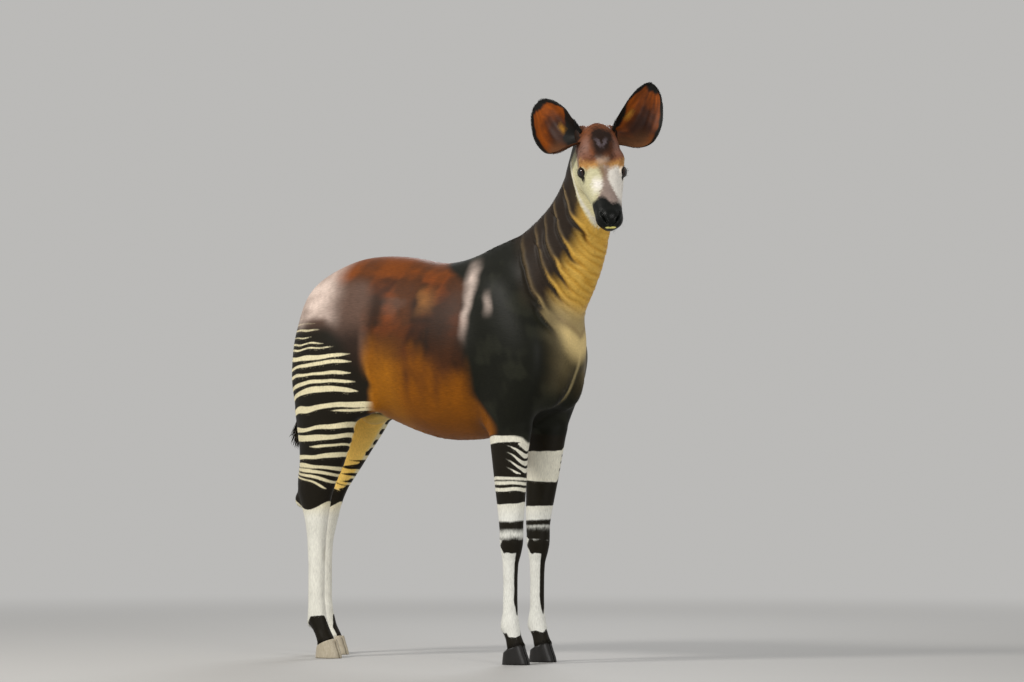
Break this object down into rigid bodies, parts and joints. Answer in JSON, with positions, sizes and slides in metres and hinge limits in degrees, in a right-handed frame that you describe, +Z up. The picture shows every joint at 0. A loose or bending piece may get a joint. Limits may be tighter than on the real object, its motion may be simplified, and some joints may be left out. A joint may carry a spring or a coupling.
{
  "type": "okapi",
  "caption": "Life-size standing okapi in a still pose, its head turned to its right and its ears spread, on four hooves level with the floor.",
  "frame": {"origin": "centre of the whole model's footprint box, on the floor", "axes": "+Z up, the body faces -Y, its left side is +X"},
  "size_m": [0.5248, 1.7272, 2.1102],
  "materials": {
    "body_coat": "short dark brown velvet coat with a soft sheen",
    "neck_coat": "short grey-brown coat, golden at the throat",
    "leg_coat": "short coat with black and cream bands",
    "face_coat": "fine short coat, pale cheeks and a black muzzle",
    "ear_coat": "thin fur, rust brown inside with a black rim",
    "tail_hair": "coarse black-brown hair",
    "hoof_horn": "worn dark horn",
    "eye": "wet dark brown"
  },
  "bodies": {
    "root": {"ear_left": "ear_coat", "ear_right": "ear_coat", "eye_left": "eye", "eye_right": "eye", "foreleg_left": "leg_coat", "foreleg_right": "leg_coat", "head": "face_coat", "hindleg_left": "leg_coat", "hindleg_right": "leg_coat", "hoof_fore_left_inner": "hoof_horn", "hoof_fore_left_outer": "hoof_horn", "hoof_fore_right_inner": "hoof_horn", "hoof_fore_right_outer": "hoof_horn", "hoof_hind_left_inner": "hoof_horn", "hoof_hind_left_outer": "hoof_horn", "hoof_hind_right_inner": "hoof_horn", "hoof_hind_right_outer": "hoof_horn", "neck": "neck_coat", "tail": "body_coat", "tail_tuft": "tail_hair", "torso": "body_coat"}
  },
  "joints": []
}
